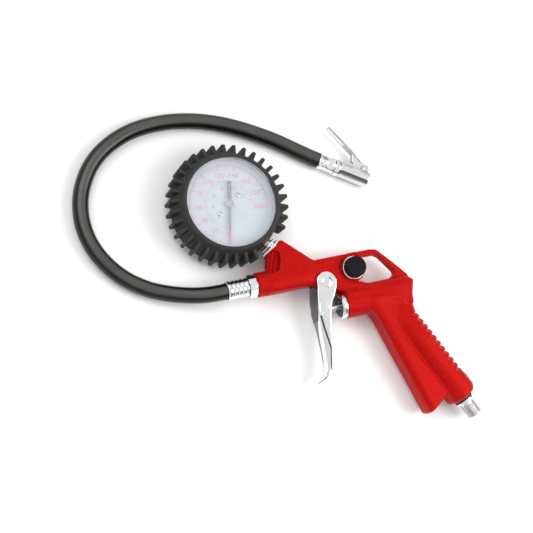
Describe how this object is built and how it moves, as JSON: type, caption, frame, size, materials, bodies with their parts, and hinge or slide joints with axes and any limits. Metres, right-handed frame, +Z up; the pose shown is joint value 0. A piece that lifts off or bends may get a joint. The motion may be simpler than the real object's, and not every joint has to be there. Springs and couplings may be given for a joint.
{
  "type": "tyre inflator with gauge",
  "caption": "Pistol-grip tyre inflator: cast body with hanging hook, trigger valve, bleed button, booted dial gauge and whip hose with clip-on chuck.",
  "frame": {"origin": "bottom centre of the gun and gauge as they lie on their side on a flat surface, without the hose and chuck", "axes": "+Z up out of the dial, +Y from the grip towards the gauge, +X from the hose end of the barrel to the back of the grip"},
  "size_m": [0.3055, 0.3076, 0.0334],
  "materials": {
    "body_paint": "gloss red enamel with a fine metallic sparkle on a die casting",
    "chrome_plate": "bright chrome plate over steel and brass",
    "spring_steel": "drawn steel",
    "case_steel": "black stoved paint on pressed steel",
    "brass": "machined brass",
    "bronze": "phosphor bronze",
    "boot_rubber": "matt moulded rubber",
    "hose_rubber": "semi-gloss rubber hose cover",
    "seal_rubber": "nitrile",
    "button_plastic": "black moulded cap",
    "lens": "clear flat lens",
    "dial_face": "white enamel dial with printed scales",
    "pointer_paint": "grey enamel with a red tip"
  },
  "bodies": {
    "gun": {"body_casting": "body_paint", "trigger_pin": "chrome_plate", "pin_retaining_ring": "spring_steel", "valve_gland_nut": "chrome_plate", "gland_seal": "seal_rubber", "valve_seat": "brass", "valve_spring": "spring_steel", "bleed_valve_body": "chrome_plate", "bleed_spring": "spring_steel", "hose_fitting": "chrome_plate", "hose_ferrule": "chrome_plate", "air_hose": "hose_rubber", "inlet_washer": "seal_rubber", "inlet_nipple": "chrome_plate", "chuck_ferrule": "chrome_plate", "chuck_hose_fitting": "chrome_plate", "chuck_body": "chrome_plate", "chuck_lever_pin": "spring_steel", "chuck_seal": "seal_rubber", "valve_core_depressor": "brass", "chuck_lever_spring": "spring_steel", "gauge_boot": "boot_rubber", "gauge_case": "case_steel", "gauge_bezel": "chrome_plate", "gauge_lens": "lens", "dial_plate": "dial_face", "dial_screw_left": "chrome_plate", "dial_screw_right": "chrome_plate", "gauge_socket": "brass", "stem_lock_nut": "chrome_plate", "bourdon_tube": "bronze", "bourdon_tip": "brass", "movement_back_plate": "brass", "movement_front_plate": "brass", "movement_pillar_1": "brass", "movement_pillar_2": "brass", "movement_pillar_3": "brass"},
    "trigger": {"trigger_lever": "chrome_plate"},
    "valve": {"valve_stem": "spring_steel", "poppet_seal": "seal_rubber", "poppet_cup": "brass"},
    "bleed_valve": {"bleed_button": "button_plastic", "bleed_stem": "spring_steel", "bleed_seal": "seal_rubber"},
    "sector": {"sector_gear": "brass", "sector_arbor": "spring_steel"},
    "pointer": {"pointer_arbor": "spring_steel", "gauge_pointer": "pointer_paint", "hairspring": "bronze"},
    "link": {"tip_link": "spring_steel"},
    "thumb_lever": {"chuck_lever": "chrome_plate"}
  },
  "joints": [
    {"name": "trigger_pivot", "type": "hinge", "parent": "gun", "child": "trigger", "pos_m": [0.0024, 0.0037, 0.015], "axis": [0, 0, 1], "range_deg": [0, 10], "stiffness_Nm_per_rad": 1.5, "springref_deg": -8.59},
    {"name": "valve_stem_slide", "type": "slide", "parent": "gun", "child": "valve", "axis": [1, 0, 0], "range_m": [0, 0.0038], "deforming": ["valve_spring"]},
    {"name": "bleed_button_slide", "type": "slide", "parent": "gun", "child": "bleed_valve", "axis": [0, 0, -1], "range_m": [0, 0.0025], "stiffness_N_per_m": 200, "springref_m": -0.004, "deforming": ["bleed_spring"]},
    {"name": "sector_turn", "type": "hinge", "parent": "gun", "child": "sector", "pos_m": [-0.07619, 0.0752, 0.015], "axis": [0, 0, 1], "range_deg": [0, 54], "stiffness_Nm_per_rad": 0.0005, "springref_deg": -5.73},
    {"name": "pointer_turn", "type": "hinge", "parent": "gun", "child": "pointer", "pos_m": [-0.0639, 0.0838, 0.015], "axis": [0, 0, 1], "range_deg": [-270, 0], "deforming": ["hairspring"]},
    {"name": "link_turn", "type": "hinge", "parent": "sector", "child": "link", "pos_m": [-0.08032, 0.08109, 0.015], "axis": [0, 0, 1], "range_deg": [-68, 0]},
    {"name": "thumb_lever_turn", "type": "hinge", "parent": "gun", "child": "thumb_lever", "pos_m": [0.06672, 0.09743, 0.0075], "axis": [0, 0, 1], "range_deg": [0, 14], "stiffness_Nm_per_rad": 0.05, "springref_deg": -17.19, "deforming": ["chuck_lever_spring"]}
  ],
  "couplings": [
    {"joint": "valve_stem_slide", "follows": "trigger_pivot", "m_per_rad": 0.0213},
    {"joint": "pointer_turn", "follows": "sector_turn", "ratio": -5},
    {"joint": "link_turn", "follows": "sector_turn", "ratio": -1.24}
  ]
}
